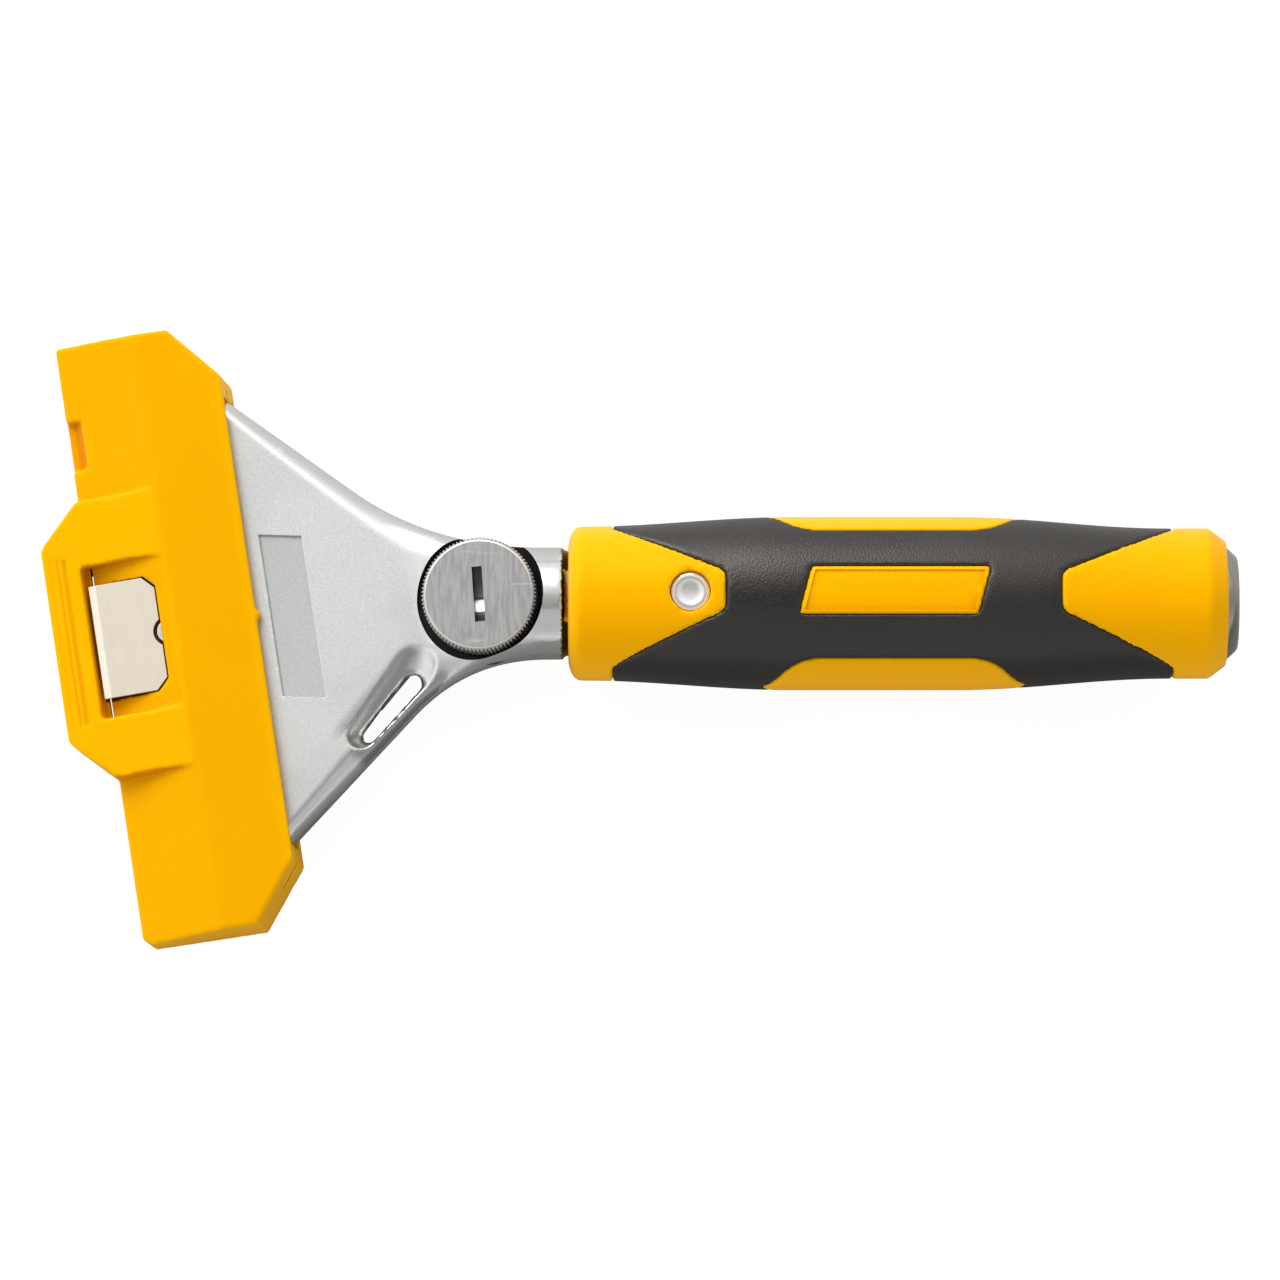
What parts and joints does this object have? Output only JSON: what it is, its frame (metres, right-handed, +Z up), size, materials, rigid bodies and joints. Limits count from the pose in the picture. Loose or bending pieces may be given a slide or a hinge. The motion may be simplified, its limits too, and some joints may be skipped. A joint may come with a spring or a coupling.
{
  "type": "hand scraper",
  "caption": "Hand scraper with a skewed cast head, a knob-clamped wide blade under a pull-off guard that carries a small spare blade, and a two-colour grip with a striking cap.",
  "frame": {"origin": "middle of the tool's plan, on the surface it lies on", "axes": "+X along the handle towards the striking cap, +Z up, +Y to the blade's far end"},
  "size_m": [0.2242, 0.116, 0.0324],
  "materials": {
    "casting": "bead-blasted die casting with smoother, brighter rims",
    "plate_steel": "satin plate steel",
    "plain_steel": "turned steel, lightly oiled",
    "knob_metal": "turned face with a fine knurl on the side",
    "blade_steel": "ground blade steel",
    "handle_plastic": "glossy moulded plastic, warm yellow",
    "grip_rubber": "matt soft overmould, near black",
    "rivet_metal": "bright plated",
    "cap_metal": "satin turned steel",
    "guard_plastic": "satin moulded plastic, warm yellow"
  },
  "bodies": {
    "handle_and_head": {"head_casting": "casting", "screw_washer": "plain_steel", "locating_pins": "plain_steel", "core_rod": "plain_steel", "handle_core": "handle_plastic", "grip_sleeve": "grip_rubber", "handle_rivet": "rivet_metal", "rivet_cap": "rivet_metal", "strike_cap": "cap_metal", "cap_washer": "plain_steel"},
    "clamp_screw": {"clamp_knob": "knob_metal", "clamp_stud": "plain_steel", "retaining_ring": "plain_steel"},
    "clamp_jaw": {"clamp_plate": "plate_steel", "clamp_nut": "plain_steel"},
    "blade": {"scraper_blade": "blade_steel"},
    "guard": {"guard_body": "guard_plastic", "mini_blade": "blade_steel", "mini_blade_peg": "rivet_metal"}
  },
  "joints": [
    {"name": "knob_turn", "type": "hinge", "parent": "handle_and_head", "child": "clamp_screw", "pos_m": [-0.02852, 0.00594, 0.013], "axis": [-0.1119, -0.0173, 0.9936], "range_deg": [0, 540]},
    {"name": "clamp_open", "type": "slide", "parent": "handle_and_head", "child": "clamp_jaw", "axis": [0.1119, 0.0173, -0.9936], "range_m": [0, 0.00187]},
    {"name": "blade_slide", "type": "slide", "parent": "handle_and_head", "child": "blade", "axis": [-0.9819, -0.152, -0.1132], "range_m": [0, 0.026]},
    {"name": "guard_slide", "type": "slide", "parent": "blade", "child": "guard", "axis": [-0.9819, -0.152, -0.1132], "range_m": [0, 0.04]}
  ],
  "couplings": [
    {"joint": "knob_turn", "follows": "clamp_open", "rad_per_m": 5026.5}
  ]
}
